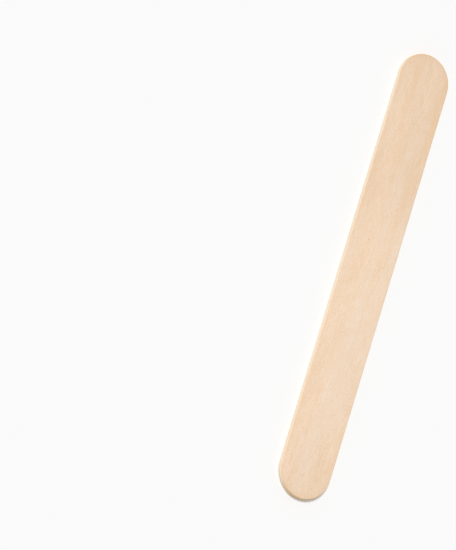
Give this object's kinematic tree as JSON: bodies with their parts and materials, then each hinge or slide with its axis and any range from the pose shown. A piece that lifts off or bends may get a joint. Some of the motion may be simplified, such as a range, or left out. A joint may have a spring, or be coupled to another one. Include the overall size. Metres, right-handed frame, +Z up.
{
  "type": "tongue depressor",
  "caption": "Flat wooden blade with straight parallel sides, full-round ends and eased rims, for pressing the tongue down.",
  "frame": {"origin": "middle of the underside, on the surface that the blade lies on", "axes": "+Y along the blade's length, +X across its width, +Z up through its thickness"},
  "size_m": [0.018, 0.15, 0.0016],
  "materials": {
    "birch": "dry, unvarnished, tumbled smooth"
  },
  "bodies": {
    "root": {"blade": "birch"}
  },
  "joints": []
}
